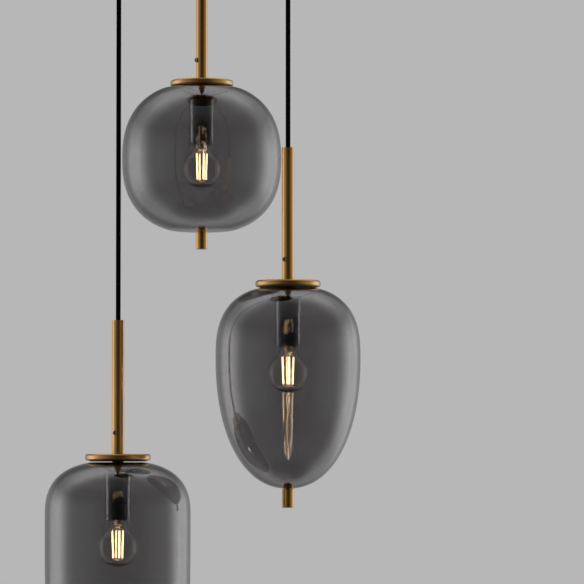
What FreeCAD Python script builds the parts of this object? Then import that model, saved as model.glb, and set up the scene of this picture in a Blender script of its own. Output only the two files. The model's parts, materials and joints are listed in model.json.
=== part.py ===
import FreeCAD, Part
import math
import os
import re
from Sketcher import Constraint

# Cluster pendant: three smoked glass shades on cables from one round canopy. Millimetres, +Z up. The
# origin is the middle of the canopy's seat on the ceiling, so everything hangs below z = 0.

doc = FreeCAD.newDocument("ClusterPendant")
sheet = doc.addObject("Spreadsheet::Sheet", "Sizes")

SIZES = {
    # canopy and what is inside it
    "canopyDiameter": 300.0,
    "canopyHeight": 25.0,
    "canopyWall": 1.5,
    "canopyRound": 5.0,
    "bracketWidth": 30.0,
    "bracketSheet": 2.0,
    "bracketTab": 17.0,
    "bracketSideGap": 1.2,
    "slotLength": 22.0,
    "slotWidth": 5.5,
    "slotCentre": 85.0,
    "ceilingHoleDiameter": 5.5,
    "ceilingHoleSpacing": 94.0,
    "entryHole": 10.0,
    "entryOffset": 24.0,
    "sideScrewDiameter": 4.0,
    "sideScrewDepth": 11.0,
    "sideScrewLength": 10.0,
    "sideHeadDiameter": 9.0,
    "sideHeadThickness": 4.0,
    "terminalDiameter": 34.0,
    "terminalHeight": 12.0,
    "terminalWayDiameter": 4.2,
    "terminalWayDepth": 7.0,
    "leadDiameter": 3.2,
    "leadBend": 9.0,
    "leadLevel": 9.0,
    # cord grips and cables
    "ringRadius": 110.0,
    "appleAngle": 92.0,
    "eggAngle": -28.0,
    "jarAngle": 212.0,
    "cableDiameter": 5.4,
    "appleCable": 285.6,
    "eggCable": 528.2,
    "jarCable": 722.9,
    "gripDiameter": 13.0,
    "gripLength": 14.0,
    "gripNippleDiameter": 10.0,
    "gripNippleLength": 6.5,
    "gripNutWidth": 16.0,
    "gripNutThickness": 3.0,
    "gripScrewDiameter": 3.0,
    "gripScrewProud": 1.2,
    "gripSlotWidth": 0.6,
    "gripSlotDepth": 0.6,
    # stem, cap and the screw that locks them
    "stemDiameter": 13.6,
    "stemBore": 11.0,
    "stemLength": 150.0,
    "bushLength": 9.0,
    "capDiameter": 73.5,
    "capThickness": 7.2,
    "capRound": 2.6,
    "washerDiameter": 64.0,
    "washerThickness": 1.0,
    "lockHeight": 27.3,
    "lockDiameter": 4.0,
    "lockHeadDiameter": 5.4,
    "lockHeadProud": 1.4,
    "lockSocketWidth": 2.5,
    "lockSocketDepth": 1.1,
    "appleLockTurn": 210.0,
    "eggLockTurn": 242.0,
    "jarLockTurn": 250.0,
    # neck, shade carrier and lampholder
    "rodDiameter": 10.0,
    "rodAboveCap": 40.0,
    "neckTopDiameter": 13.0,
    "neckWaistDiameter": 8.2,
    "neckWaistDrop": 7.2,
    "neckFootDiameter": 13.0,
    "neckFootThickness": 1.2,
    "neckSpigotLength": 6.0,
    "armRootDiameter": 17.0,
    "armSheet": 1.2,
    "armWidth": 7.0,
    "armReach": 31.0,
    "armTipLength": 4.0,
    "holderTopDrop": 15.8,
    "holderDiameter": 29.6,
    "holderWall": 2.0,
    "holderCapHeight": 15.0,
    "holderCapRound": 4.0,
    "holderSleeveHeight": 40.0,
    "holderSleeveStep": 0.4,
    "holderThreadWall": 1.6,
    "holderThreadLength": 6.0,
    "insertHeight": 30.5,
    "insertRecess": 0.5,
    "insertFloor": 4.0,
    "insertMouthDiameter": 19.0,
    "insertMouthDepth": 5.0,
    "contactDiameter": 5.0,
    "contactLength": 0.6,
    # lamp: E14 screw cap, 45 mm globe
    "lampDiameter": 45.0,
    "lampLength": 78.0,
    "lampShellDiameter": 13.9,
    "lampShellLength": 18.0,
    "lampShellWall": 0.4,
    "lampShellDepth": 10.0,
    "lampButtonDiameter": 4.8,
    "lampButtonLength": 2.0,
    "lampInsulatorDiameter": 7.0,
    "lampInsulatorLength": 4.0,
    "lampNeckRound": 9.0,
    "lampGlassWall": 0.8,
    "filamentLength": 30.0,
    "filamentDiameter": 2.2,
    "filamentRise": 17.5,
    "filamentTopRadius": 6.2,
    "filamentFootRadius": 5.2,
    "mountDiameter": 8.0,
    "hubThickness": 0.8,
    "appleLampTurn": 24.0,
    "eggLampTurn": 12.0,
    "jarLampTurn": 20.0,
    # glass shades: radius, depth above and below the widest level, how far the flat land round the mouth
    # trims the crown, and how square each half is
    "shadeGap": 1.6,
    "shadeWall": 2.5,
    "mouthDiameter": 53.0,
    "pinHoleDiameter": 6.6,
    "appleRadius": 92.9,
    "appleAbove": 82.9,
    "appleBelow": 87.6,
    "appleCrown": 6.2,
    "appleSquareAbove": 2.42,
    "appleSquareBelow": 2.45,
    "appleDimpleDepth": 3.2,
    "appleDimpleRadius": 42.0,
    "eggRadius": 81.4,
    "eggAbove": 76.7,
    "eggBelow": 147.9,
    "eggCrown": 3.3,
    "eggSquareAbove": 2.64,
    "eggSquareBelow": 2.2,
    "eggDimpleDepth": 0.0,
    "eggDimpleRadius": 20.0,
    "jarRadius": 81.5,
    "jarAbove": 60.2,
    "jarBelow": 168.0,
    "jarCrown": 1.5,
    "jarSquareAbove": 2.64,
    "jarSquareBelow": 4.6,
    "jarDimpleDepth": 0.0,
    "jarDimpleRadius": 20.0,
    # brass pin under each shade
    "pinDiameter": 13.6,
    "pinLength": 21.2,
    "pinRound": 0.6,
    "studDiameter": 6.0,
    "studAboveNut": 1.5,
    "pinNutDiameter": 10.0,
    "pinNutThickness": 3.0,
    # clearances
    "slidingFit": 0.25,
    "turningFit": 0.1,
    "seatGap": 0.1,
    "restGap": 0.3,
}
for row, (alias, size) in enumerate(SIZES.items(), start=1):
    sheet.set(f"A{row}", alias)
    sheet.set(f"B{row}", str(size))
    sheet.setAlias(f"B{row}", alias)
doc.recompute()

PENDANTS = ("apple", "egg", "jar")
NEAR = 1e-3  # two places closer than this are the same place
NAMES = re.compile(r"\b(" + "|".join(SIZES) + r")\b")


def cells(text):
    """The expression with each size's name pointing at its cell."""
    return NAMES.sub(r"Sizes.\1", text)


def value(text):
    return float(sheet.evalExpression(cells(text)))


def bind(item, prop, text):
    item.setExpression(prop, cells(text))


def place(item, x="0", y="0", z="0", turn=None):
    """Puts an item at three expressions, turned about Z by a fourth in degrees."""
    for axis, text in zip("xyz", (x, y, z)):
        bind(item, f"Placement.Base.{axis}", text)
    if turn is not None:
        item.Placement.Rotation = FreeCAD.Rotation(FreeCAD.Vector(0, 0, 1), 1)
        bind(item, "Placement.Rotation.Angle", f"({turn}) * 1deg")
    return item


def ringSpot(name):
    """The two expressions of the place where one cable leaves the canopy."""
    return f"ringRadius * cos({name}Angle * 1deg)", f"ringRadius * sin({name}Angle * 1deg)"


def placeAt(item, name, z, turn=None):
    """Puts an item on the axis of one pendant."""
    return place(item, *ringSpot(name), z, turn)


# ---- makers of simple forms


def bodyPlane(body, role):
    return [f for f in body.Origin.OriginFeatures if f.Role == role][0]


def newSketch(body, label, role):
    sketch = body.newObject("Sketcher::SketchObject", label)
    sketch.AttachmentSupport = (bodyPlane(body, role), [""])
    sketch.MapMode = "FlatFace"
    return sketch


def closedOutline(sketch, corners):
    """A closed run of straight lines, every corner held by two expressions."""
    points = [FreeCAD.Vector(value(a), value(b), 0) for a, b in corners]
    for i, point in enumerate(points):
        sketch.addGeometry(Part.LineSegment(point, points[(i + 1) % len(points)]))
    for i, (a, b) in enumerate(corners):
        sketch.addConstraint(Constraint("Coincident", i - 1 if i else len(points) - 1, 2, i, 1))
        for text, kind, axis in ((a, "DistanceX", -2), (b, "DistanceY", -1)):
            if text == "0":
                sketch.addConstraint(Constraint("PointOnObject", i, 1, axis))
                continue
            k = sketch.addConstraint(Constraint(kind, -1, 1, i, 1, value(text)))
            bind(sketch, f"Constraints[{k}]", text)


def turned(label, corners):
    """A body turned about Z from (radius, height) corners."""
    body = doc.addObject("PartDesign::Body", label)
    sketch = newSketch(body, label + "_outline", "XZ_Plane")
    closedOutline(sketch, corners)
    turn = body.newObject("PartDesign::Revolution", label + "_turn")
    turn.Profile = sketch
    turn.ReferenceAxis = (sketch, ["V_Axis"])
    turn.Angle = 360
    sketch.Visibility = False
    return body


def ring(label, inside, outside, foot, top):
    """A turned body with a square section."""
    return turned(label, [(inside, foot), (outside, foot), (outside, top), (inside, top)])


def roundEdges(body, radius, picks):
    """Fillets the body's circles that lie at the given (radius, height) pairs."""
    doc.recompute()
    wanted = [(value(a), value(b)) for a, b in picks]
    feature = body.Tip
    names = []
    for i, edge in enumerate(feature.Shape.Edges, start=1):
        if edge.Curve.TypeId != "Part::GeomCircle":
            continue
        at = (edge.Curve.Radius, edge.Curve.Center.z)
        if any(math.dist(at, w) < NEAR for w in wanted):
            names.append(f"Edge{i}")
    fillet = body.newObject("PartDesign::Fillet", feature.Name + "_round")
    fillet.Base = (feature, names)
    bind(fillet, "Radius", radius)
    return body


def cylinder(label, radius, height, x="0", y="0", z="0", tilt=None):
    item = doc.addObject("Part::Cylinder", label)
    bind(item, "Radius", radius)
    bind(item, "Height", height)
    if tilt:
        item.Placement.Rotation = tilt
    return place(item, x, y, z)


def box(label, length, width, height, x, y, z):
    item = doc.addObject("Part::Box", label)
    bind(item, "Length", length)
    bind(item, "Width", width)
    bind(item, "Height", height)
    return place(item, x, y, z)


def cut(label, base, *tools):
    if len(tools) > 1:
        tool = doc.addObject("Part::MultiFuse", label + "_cutters")
        tool.Shapes = list(tools)
    else:
        tool = tools[0]
    item = doc.addObject("Part::Cut", label)
    item.Base = base
    item.Tool = tool
    return item


def fuse(label, *items):
    item = doc.addObject("Part::MultiFuse", label)
    item.Shapes = list(items)
    return item


def group(label, *items):
    """Separate solids of one kind that share a node."""
    item = doc.addObject("Part::Compound", label)
    item.Links = list(items)
    return item


# ---- canopy


def alongX(label, radius, start, end, z="0"):
    """A rod along +X between two distances from the axis."""
    tilt = FreeCAD.Rotation(FreeCAD.Vector(0, 1, 0), 90)
    return cylinder(label, radius, f"({end}) - ({start})", start, "0", z, tilt)


def canopyPan():
    rim = "canopyDiameter / 2"
    floor = "-canopyHeight"
    inside = f"{rim} - canopyWall"
    top = f"{floor} + canopyWall"
    corners = [("0", floor), (rim, floor), (rim, "0"), (inside, "0"), (inside, top), ("0", top)]
    pan = turned("canopy_pan_pressing", corners)
    roundEdges(pan, "canopyRound", [(rim, floor)])
    roundEdges(pan, "canopyRound - canopyWall", [(inside, top)])
    holes = []
    for name in PENDANTS:
        x, y = ringSpot(name)
        radius = "gripNippleDiameter / 2 + turningFit"
        below = "-(canopyHeight + canopyWall)"
        holes.append(cylinder(f"{name}_grip_hole", radius, "3 * canopyWall", x, y, below))
    reach = "canopyDiameter / 2 + canopyWall"
    bore = "sideScrewDiameter / 2 + turningFit"
    side = alongX("side_screw_holes", bore, f"-({reach})", reach, "-sideScrewDepth")
    return cut("canopy_pan", pan, *holes, side)


def ceilingBracket():
    half = "(canopyDiameter / 2 - canopyWall - bracketSideGap)"
    edge = "-bracketWidth / 2"
    sheet, wide, deepTab = "bracketSheet", "bracketWidth", "bracketTab"
    strip = box("bracket_strip", f"2 * {half}", wide, sheet, f"-{half}", edge, f"-{sheet}")
    tabs = []
    for side, inner in (("left", f"-{half}"), ("right", f"{half} - {sheet}")):
        tabs.append(box(f"bracket_tab_{side}", sheet, wide, deepTab, inner, edge, f"-{deepTab}"))
    below = "-2 * bracketSheet"
    deep = "3 * bracketSheet"
    cutters = []
    for side, sign in (("left", "-1"), ("right", "1")):
        at = f"{sign} * slotCentre"
        run = "(slotLength - slotWidth)"
        start = f"{at} - {run} / 2"
        cutters.append(box(f"{side}_slot", run, "slotWidth", deep, start, "-slotWidth / 2", below))
        for end in ("-1", "1"):
            spot = f"{at} + {end} * {run} / 2"
            cutters.append(cylinder(f"{side}_slot_end", "slotWidth / 2", deep, spot, "0", below))
        screw = f"{sign} * ceilingHoleSpacing / 2"
        cutters.append(cylinder(f"{side}_ceiling_hole", "ceilingHoleDiameter / 2", deep, screw, "0", below))
        entry = f"{sign} * entryOffset"
        cutters.append(cylinder(f"{side}_entry", "entryHole / 2", deep, entry, "0", below))
    reach = "canopyDiameter / 2"
    bore = "sideScrewDiameter / 2 + turningFit"
    cutters.append(alongX("tab_holes", bore, f"-{reach}", reach, "-sideScrewDepth"))
    return cut("ceiling_bracket", fuse("bracket_blank", strip, *tabs), *cutters)


def canopyScrews():
    rim = "canopyDiameter / 2"
    screws = []
    for side, turn in (("left", "180"), ("right", "0")):
        inner = f"{rim} - sideScrewLength"
        seat = f"{rim} + seatGap"
        face = f"{seat} + sideHeadThickness"
        shank = alongX(f"{side}_shank", "sideScrewDiameter / 2", inner, seat, "-sideScrewDepth")
        head = alongX(f"{side}_head", "sideHeadDiameter / 2", seat, face, "-sideScrewDepth")
        screws.append(place(fuse(f"{side}_canopy_screw", shank, head), turn=turn))
    return group("canopy_screws", *screws)


def terminalBlock():
    rim = "terminalDiameter / 2"
    foot = "-(bracketSheet + seatGap + terminalHeight)"
    block = cylinder("terminal_moulding", rim, "terminalHeight", z=foot)
    ways = []
    for name in PENDANTS:
        inner, outer = f"{rim} - terminalWayDepth", f"{rim} + terminalWayDiameter"
        way = alongX(f"{name}_way", "terminalWayDiameter / 2", inner, outer, "-leadLevel")
        ways.append(place(group(f"{name}_way_turned", way), turn=f"{name}Angle"))
    return cut("terminal_block", block, *ways)


def roundTube(route, radius):
    """A round tube along a wire that starts straight up."""
    start = route.Edges[0].Vertexes[0].Point
    section = Part.Wire(Part.makeCircle(radius, start, FreeCAD.Vector(0, 0, 1)))
    return route.makePipeShell([section], True, False)


def canopyLeads():
    """Inner leads: up out of each cord grip, over one bend and level into the terminal block."""
    foot = value("-(canopyHeight + gripLength) + restGap")
    level = value("-leadLevel")
    bend = value("leadBend")
    out = value("ringRadius")
    end = value("terminalDiameter / 2 - terminalWayDepth + restGap")
    corner = bend * (1 - math.sqrt(0.5))
    leads = []
    for name in PENDANTS:
        up = Part.LineSegment(FreeCAD.Vector(out, 0, foot), FreeCAD.Vector(out, 0, level - bend))
        over = Part.Arc(
            FreeCAD.Vector(out, 0, level - bend),
            FreeCAD.Vector(out - corner, 0, level - corner),
            FreeCAD.Vector(out - bend, 0, level),
        )
        inward = Part.LineSegment(FreeCAD.Vector(out - bend, 0, level), FreeCAD.Vector(end, 0, level))
        route = Part.Wire([part.toShape() for part in (up, over, inward)])
        lead = roundTube(route, value("leadDiameter / 2"))
        lead.rotate(FreeCAD.Vector(0, 0, 0), FreeCAD.Vector(0, 0, 1), value(f"{name}Angle"))
        leads.append(lead)
        print(f"{name} lead: {route.Length:.1f} mm long, bend {bend:g} mm")
    item = doc.addObject("Part::Feature", "canopy_leads")
    item.Shape = Part.makeCompound(leads)
    return item


def cordGrips():
    bore = "cableDiameter / 2 + slidingFit"
    foot = "-(canopyHeight + gripLength)"
    top = "-canopyHeight + gripNippleLength"
    barrel = "gripDiameter / 2"
    nipple = "gripNippleDiameter / 2"
    screwLevel = "-(canopyHeight + gripLength / 2)"
    grips, nuts, screws = [], [], []
    for name in PENDANTS:
        x, y = ringSpot(name)
        corners = [(bore, foot), (barrel, foot), (barrel, "-canopyHeight")]
        corners += [(nipple, "-canopyHeight"), (nipple, top), (bore, top)]
        body = turned(f"{name}_grip_turning", corners)
        roundEdges(body, "pinRound", [(barrel, foot)])
        tapping = "gripScrewDiameter / 2 + turningFit"
        hole = alongX(f"{name}_grip_tapping", tapping, "0", "gripDiameter", screwLevel)
        grips.append(place(cut(f"{name}_grip", body, hole), x, y, "0", f"{name}Angle"))

        nut = doc.addObject("Part::Prism", f"{name}_grip_hexagon")
        nut.Polygon = 6
        bind(nut, "Circumradius", "gripNutWidth / 2 / cos(30deg)")
        bind(nut, "Height", "gripNutThickness")
        bind(nut, "Placement.Base.z", "-canopyHeight + canopyWall")
        thread = cylinder(f"{name}_nut_thread", f"{nipple} + turningFit", "canopyHeight", z="-canopyHeight")
        nuts.append(place(cut(f"{name}_grip_nut", nut, thread), x, y))

        start = "cableDiameter / 2 + slidingFit"
        end = "gripDiameter / 2 + gripScrewProud"
        rod = alongX(f"{name}_grip_rod", "gripScrewDiameter / 2", start, end, screwLevel)
        low = f"{screwLevel} - gripSlotWidth / 2"
        slot = box(
            f"{name}_grip_slot",
            "2 * gripSlotDepth",
            "2 * gripScrewDiameter",
            "gripSlotWidth",
            f"{end} - gripSlotDepth",
            "-gripScrewDiameter",
            low,
        )
        screws.append(place(cut(f"{name}_grip_screw", rod, slot), x, y, "0", f"{name}Angle"))
    return [group("cord_grips", *grips), group("cord_grip_nuts", *nuts), group("cord_grip_screws", *screws)]


# ---- one pendant: heights count from the middle of its brass cap


def capLevel(name):
    return f"-(canopyHeight + gripLength + {name}Cable + stemLength + capThickness / 2)"


CAP_TOP = "capThickness / 2"
CAP_FOOT = "-capThickness / 2"
SEAT = "-(capThickness / 2 + washerThickness)"
ROD = "rodDiameter / 2"
ROD_HOLE = "rodDiameter / 2 + slidingFit"
CABLE_WAY = "cableDiameter / 2 + slidingFit"
NECK_FOOT = "-(holderTopDrop - armSheet)"
SPIGOT_FOOT = "-(holderTopDrop + neckSpigotLength)"
HOLDER_JOINT = "-(holderTopDrop + holderCapHeight)"
HOLDER_FOOT = "-(holderTopDrop + holderCapHeight + holderSleeveHeight)"
INSERT_FOOT = f"({HOLDER_FOOT} + insertRecess)"
INSERT_TOP = f"({INSERT_FOOT} + insertHeight)"
LAMP_TOP = f"({INSERT_TOP} - insertFloor - contactLength - seatGap)"
SHELL_TOP = f"({LAMP_TOP} - lampButtonLength - lampInsulatorLength)"
SHELL_FOOT = f"({SHELL_TOP} - lampShellLength)"
LAMP_NECK = "(lampShellDiameter / 2 - lampShellWall - turningFit)"
GLOBE_LEVEL = f"({LAMP_TOP} - lampLength + lampDiameter / 2)"
SHADE_TOP = "(capThickness / 2 + shadeGap)"


def cable(name):
    length = f"{name}Cable + stemLength + capThickness / 2 - ({SPIGOT_FOOT})"
    tube = cylinder(f"{name}_cable", "cableDiameter / 2", length)
    return placeAt(tube, name, f"{capLevel(name)} + {SPIGOT_FOOT}")


def cover(name):
    """What slides up the cable when the lock screw is loose: stem, bush, cap, washer and the screw."""
    level = capLevel(name)
    top = f"{CAP_TOP} + stemLength"
    inside = "stemBore / 2"
    outside = "stemDiameter / 2"
    brass = ring(f"{name}_stem_tube", inside, outside, CAP_TOP, top)
    hole = alongX(f"{name}_lock_hole", "lockDiameter / 2 + turningFit", "0", "stemDiameter", "lockHeight")
    stem = placeAt(cut(f"{name}_stem", brass, hole), name, level, f"{name}LockTurn")

    bushFoot = f"{top} - bushLength"
    fit = f"{inside} - turningFit"
    bush = ring(f"{name}_stem_bush", CABLE_WAY, fit, bushFoot, top)

    rim = "capDiameter / 2"
    cap = ring(f"{name}_cap", ROD_HOLE, rim, CAP_FOOT, CAP_TOP)
    roundEdges(cap, "capRound", [(rim, CAP_FOOT), (rim, CAP_TOP)])

    washer = ring(f"{name}_cap_washer", ROD_HOLE, "washerDiameter / 2", SEAT, CAP_FOOT)

    face = f"{outside} + seatGap"
    proud = f"{face} + lockHeadProud"
    shank = alongX(f"{name}_lock_shank", "lockDiameter / 2", f"{ROD} + seatGap", face, "lockHeight")
    head = alongX(f"{name}_lock_head", "lockHeadDiameter / 2", face, proud, "lockHeight")
    socket = doc.addObject("Part::Prism", f"{name}_lock_socket")
    socket.Polygon = 6
    bind(socket, "Circumradius", "lockSocketWidth / 2 / cos(30deg)")
    bind(socket, "Height", "2 * lockSocketDepth")
    socket.Placement.Rotation = FreeCAD.Rotation(FreeCAD.Vector(0, 1, 0), 90)
    place(socket, f"{proud} - lockSocketDepth", "0", "lockHeight")
    screw = cut(f"{name}_lock_screw", fuse(f"{name}_lock_blank", shank, head), socket)
    placeAt(screw, name, level, f"{name}LockTurn")
    return [stem, *(placeAt(piece, name, level) for piece in (bush, cap, washer)), screw]


def neck(name):
    """Steel tube up inside the stem, with the black cone that the cap's washer sits on."""
    top = f"{CAP_TOP} + rodAboveCap"
    shoulder = "neckTopDiameter / 2"
    waist = "neckWaistDiameter / 2"
    foot = "neckFootDiameter / 2"
    corners = [(CABLE_WAY, top), (CABLE_WAY, SPIGOT_FOOT), (ROD, SPIGOT_FOOT), (ROD, NECK_FOOT)]
    corners += [(foot, NECK_FOOT), (foot, f"{NECK_FOOT} + neckFootThickness")]
    corners += [(waist, f"{SEAT} - neckWaistDrop"), (shoulder, SEAT), (ROD, SEAT), (ROD, top)]
    return placeAt(turned(f"{name}_neck", corners), name, capLevel(name))


def halfDepth(name, half, radius, inset):
    """Distance of the squared ellipse from the widest level at a radius, inset by a wall."""
    depth = f"{name}Above + {name}Crown" if half == "Above" else f"{name}Below"
    square = f"{name}Square{half}"
    return f"(({depth} - {inset}) * (1 - (({radius}) / ({name}Radius - {inset}))^{square})^(1 / {square}))"


def carrier(name):
    """Three sprung arms on a ring: the rim of the glass sits on their tips."""
    rim = "armRootDiameter / 2"
    low, high = "-holderTopDrop", NECK_FOOT
    body = ring(f"{name}_shade_carrier", f"{ROD} + turningFit", rim, low, high)
    curve = halfDepth(name, "Above", "armReach", "shadeWall")
    tip = f"-({SHADE_TOP} + shadeWall + max(0; {name}Above - shadeWall - {curve}) + restGap)"
    root = f"{rim} - armSheet"
    sketch = newSketch(body, f"{name}_arm_outline", "XZ_Plane")
    bent = "armReach - armTipLength"
    corners = [(root, low), (rim, low), (bent, f"{tip} - armSheet"), ("armReach", f"{tip} - armSheet")]
    corners += [("armReach", tip), (bent, tip), (root, high)]
    closedOutline(sketch, corners)
    arm = body.newObject("PartDesign::Pad", f"{name}_arm")
    arm.Profile = sketch
    arm.Midplane = True
    bind(arm, "Length", "armWidth")
    sketch.Visibility = False
    doc.recompute()
    arms = body.newObject("PartDesign::PolarPattern", f"{name}_arms")
    arms.Originals = [arm]
    arms.Axis = (sketch, ["V_Axis"])
    arms.Angle = 360
    arms.Occurrences = 3
    body.Tip = arms
    return placeAt(body, name, capLevel(name))


def lampholder(name):
    outside = "holderDiameter / 2"
    inside = f"{outside} - holderWall"
    hole = f"{ROD} + turningFit"
    top, roof = "-holderTopDrop", "-(holderTopDrop + holderWall)"
    corners = [(hole, top), (outside, top), (outside, HOLDER_JOINT)]
    corners += [(inside, HOLDER_JOINT), (inside, roof), (hole, roof)]
    cap = roundEdges(turned(f"{name}_lampholder_cap", corners), "holderCapRound", [(outside, top)])

    skin = f"{outside} - holderSleeveStep"
    thread = f"{inside} - turningFit"
    bore = f"{thread} - holderThreadWall"
    collar = f"{HOLDER_JOINT} + holderThreadLength"
    corners = [(bore, HOLDER_FOOT), (skin, HOLDER_FOOT), (skin, HOLDER_JOINT), (thread, HOLDER_JOINT)]
    corners += [(thread, collar), (bore, collar)]
    sleeve = roundEdges(turned(f"{name}_lampholder_sleeve", corners), "pinRound", [(skin, HOLDER_FOOT)])

    barrel = f"{bore} - turningFit"
    way = "lampShellDiameter / 2 + slidingFit"
    mouth = "insertMouthDiameter / 2"
    step = f"{INSERT_FOOT} + insertMouthDepth"
    floor = f"{INSERT_TOP} - insertFloor"
    tip = f"{floor} - contactLength"
    contact = "contactDiameter / 2"
    corners = [("0", INSERT_TOP), ("0", tip), (contact, tip), (contact, floor), (way, floor), (way, step)]
    corners += [(mouth, step), (mouth, INSERT_FOOT), (barrel, INSERT_FOOT), (barrel, INSERT_TOP)]
    insert = turned(f"{name}_lampholder_insert", corners)
    return [placeAt(piece, name, capLevel(name)) for piece in (cap, sleeve, insert)]


def halfSection(label, edges):
    """A solid of revolution from a closed run of edges in the XZ plane."""
    face = Part.Face(Part.Wire(edges))
    solid = face.revolve(FreeCAD.Vector(0, 0, 0), FreeCAD.Vector(0, 0, 1), 360)
    item = doc.addObject("Part::Feature", label)
    item.Shape = solid
    return item


def spot(radius, height):
    return FreeCAD.Vector(radius, 0, height)


def lampBulb(name):
    """Clear glass globe that runs in one sweep into its neck."""
    level = value(GLOBE_LEVEL)
    top = value(f"{SHELL_FOOT} + lampShellDepth - seatGap")
    sides = []
    for inset in (0.0, value("lampGlassWall")):
        globe = value("lampDiameter / 2") - inset
        throat = value(LAMP_NECK) - inset
        sweep = value("lampNeckRound") + inset
        reach = globe + sweep
        bend = level + math.sqrt(reach**2 - (throat + sweep) ** 2)
        meet = spot((throat + sweep) * globe / reach, level + (bend - level) * globe / reach)
        half = math.atan2(meet.z - bend, meet.x - throat - sweep)
        middle = (half - math.pi) / 2 if half < 0 else (half + math.pi) / 2
        start = spot(throat, bend)
        halfway = spot(throat + sweep + sweep * math.cos(middle), bend + sweep * math.sin(middle))
        low = math.atan2(meet.z - level, meet.x)
        side = (low - math.pi / 2) / 2
        belly = spot(globe * math.cos(side), level + globe * math.sin(side))
        foot = spot(0, level - globe)
        edges = [Part.LineSegment(spot(throat, top), start).toShape()]
        edges.append(Part.Arc(start, halfway, meet).toShape())
        edges.append(Part.Arc(meet, belly, foot).toShape())
        sides.append((edges, spot(throat, top), foot))
    (outer, outerTop, outerFoot), (inner, innerTop, innerFoot) = sides
    edges = outer + [Part.LineSegment(outerFoot, innerFoot).toShape()]
    edges += inner[::-1] + [Part.LineSegment(innerTop, outerTop).toShape()]
    return placeAt(halfSection(f"{name}_lamp_bulb", edges), name, capLevel(name))


def lampBase(name):
    shell = "lampShellDiameter / 2"
    inside = f"{shell} - lampShellWall"
    button = "lampButtonDiameter / 2"
    insulator = "lampInsulatorDiameter / 2"
    under = f"{LAMP_TOP} - lampButtonLength"
    pit = f"{SHELL_FOOT} + lampShellDepth"
    corners = [("0", LAMP_TOP), ("0", pit), (inside, pit), (inside, SHELL_FOOT), (shell, SHELL_FOOT)]
    corners += [(shell, SHELL_TOP), (insulator, under), (button, under), (button, LAMP_TOP)]
    return placeAt(turned(f"{name}_lamp_base", corners), name, capLevel(name))


def filaments(name):
    """Glass mount and hub, four filament sticks that lean in a little and the hub that joins their feet."""
    top = f"{SHELL_FOOT} + lampShellDepth - seatGap"
    upper = f"{GLOBE_LEVEL} + filamentRise"
    lower = f"{upper} - filamentLength"
    reach = "filamentDiameter / 2"
    mount = cylinder(f"{name}_mount", "mountDiameter / 2", f"{top} - ({upper})", z=upper)
    hub = cylinder(f"{name}_top_hub", f"filamentTopRadius + {reach}", "hubThickness", z=upper)
    plate = cylinder(f"{name}_low_hub", f"filamentFootRadius + {reach}", "hubThickness", z=lower)
    leanIn = value("filamentTopRadius - filamentFootRadius")
    lean = math.degrees(math.atan2(leanIn, value("filamentLength")))
    sticks = []
    for quarter in range(4):
        stick = doc.addObject("Part::Cylinder", f"{name}_filament")
        bind(stick, "Radius", reach)
        bind(stick, "Height", "filamentLength")
        turn = value(f"{name}LampTurn") + 90 * quarter
        around = FreeCAD.Rotation(FreeCAD.Vector(0, 0, 1), turn)
        stick.Placement.Rotation = around * FreeCAD.Rotation(FreeCAD.Vector(0, 1, 0), lean)
        angle = f"({name}LampTurn + {90 * quarter}) * 1deg"
        foot = f"filamentFootRadius * cos({angle})", f"filamentFootRadius * sin({angle})"
        sticks.append(place(stick, *foot, lower))
    return placeAt(fuse(f"{name}_lamp_filaments", mount, hub, plate, *sticks), name, capLevel(name))


OUTLINE_STEPS = 12  # points on each half of a glass outline


def shadeHalf(name, half, inset, fromAngle, toAngle):
    """Points of one half of the glass outline, by angle round the widest level: a squared ellipse."""
    radius = value(f"{name}Radius") - inset
    depth = value(halfDepth(name, half, "0", "0")) - inset
    square = value(f"{name}Square{half}")
    level = -value(f"{SHADE_TOP} + {name}Above")
    side = 1 if half == "Above" else -1
    dimple = value(f"{name}DimpleDepth")
    dent = value(f"{name}DimpleRadius")
    points = []
    for i in range(OUTLINE_STEPS + 1):
        angle = fromAngle + (toAngle - fromAngle) * i / OUTLINE_STEPS
        along, up = math.cos(angle), math.sin(angle)
        reach = (abs(along / radius) ** square + abs(up / depth) ** square) ** (-1 / square)
        out = reach * along
        height = level + side * reach * up
        if side < 0 and out < dent:
            height += dimple * (1 - (out / dent) ** 2) ** 2
        points.append(spot(out, height))
    return points


def shadeEdge(name, inset):
    """One face of the glass: the flat land from the mouth, then a smooth curve to the hole for the pin."""
    radius = value(f"{name}Radius") - inset
    trim = value(f"{name}Above") - inset
    square = value(f"{name}SquareAbove")
    land = radius * (1 - (trim / (trim + value(f"{name}Crown"))) ** square) ** (1 / square)
    foot = value("pinHoleDiameter / 2")
    low = value(halfDepth(name, "Below", "pinHoleDiameter / 2", str(inset)))
    points = shadeHalf(name, "Above", inset, math.atan2(trim, land), 0.0)
    points += shadeHalf(name, "Below", inset, 0.0, math.atan2(low, foot))[1:]
    curve = Part.BSplineCurve()
    curve.interpolate(points)
    mouth = spot(value("mouthDiameter / 2"), points[0].z)
    return [Part.LineSegment(mouth, points[0]).toShape(), curve.toShape()], mouth, points[-1]


def shade(name):
    outer, outerMouth, outerFoot = shadeEdge(name, 0.0)
    inner, innerMouth, innerFoot = shadeEdge(name, value("shadeWall"))
    edges = outer + [Part.LineSegment(outerFoot, innerFoot).toShape()]
    edges += inner[::-1] + [Part.LineSegment(innerMouth, outerMouth).toShape()]
    return placeAt(halfSection(f"{name}_glass", edges), name, capLevel(name))


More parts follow.
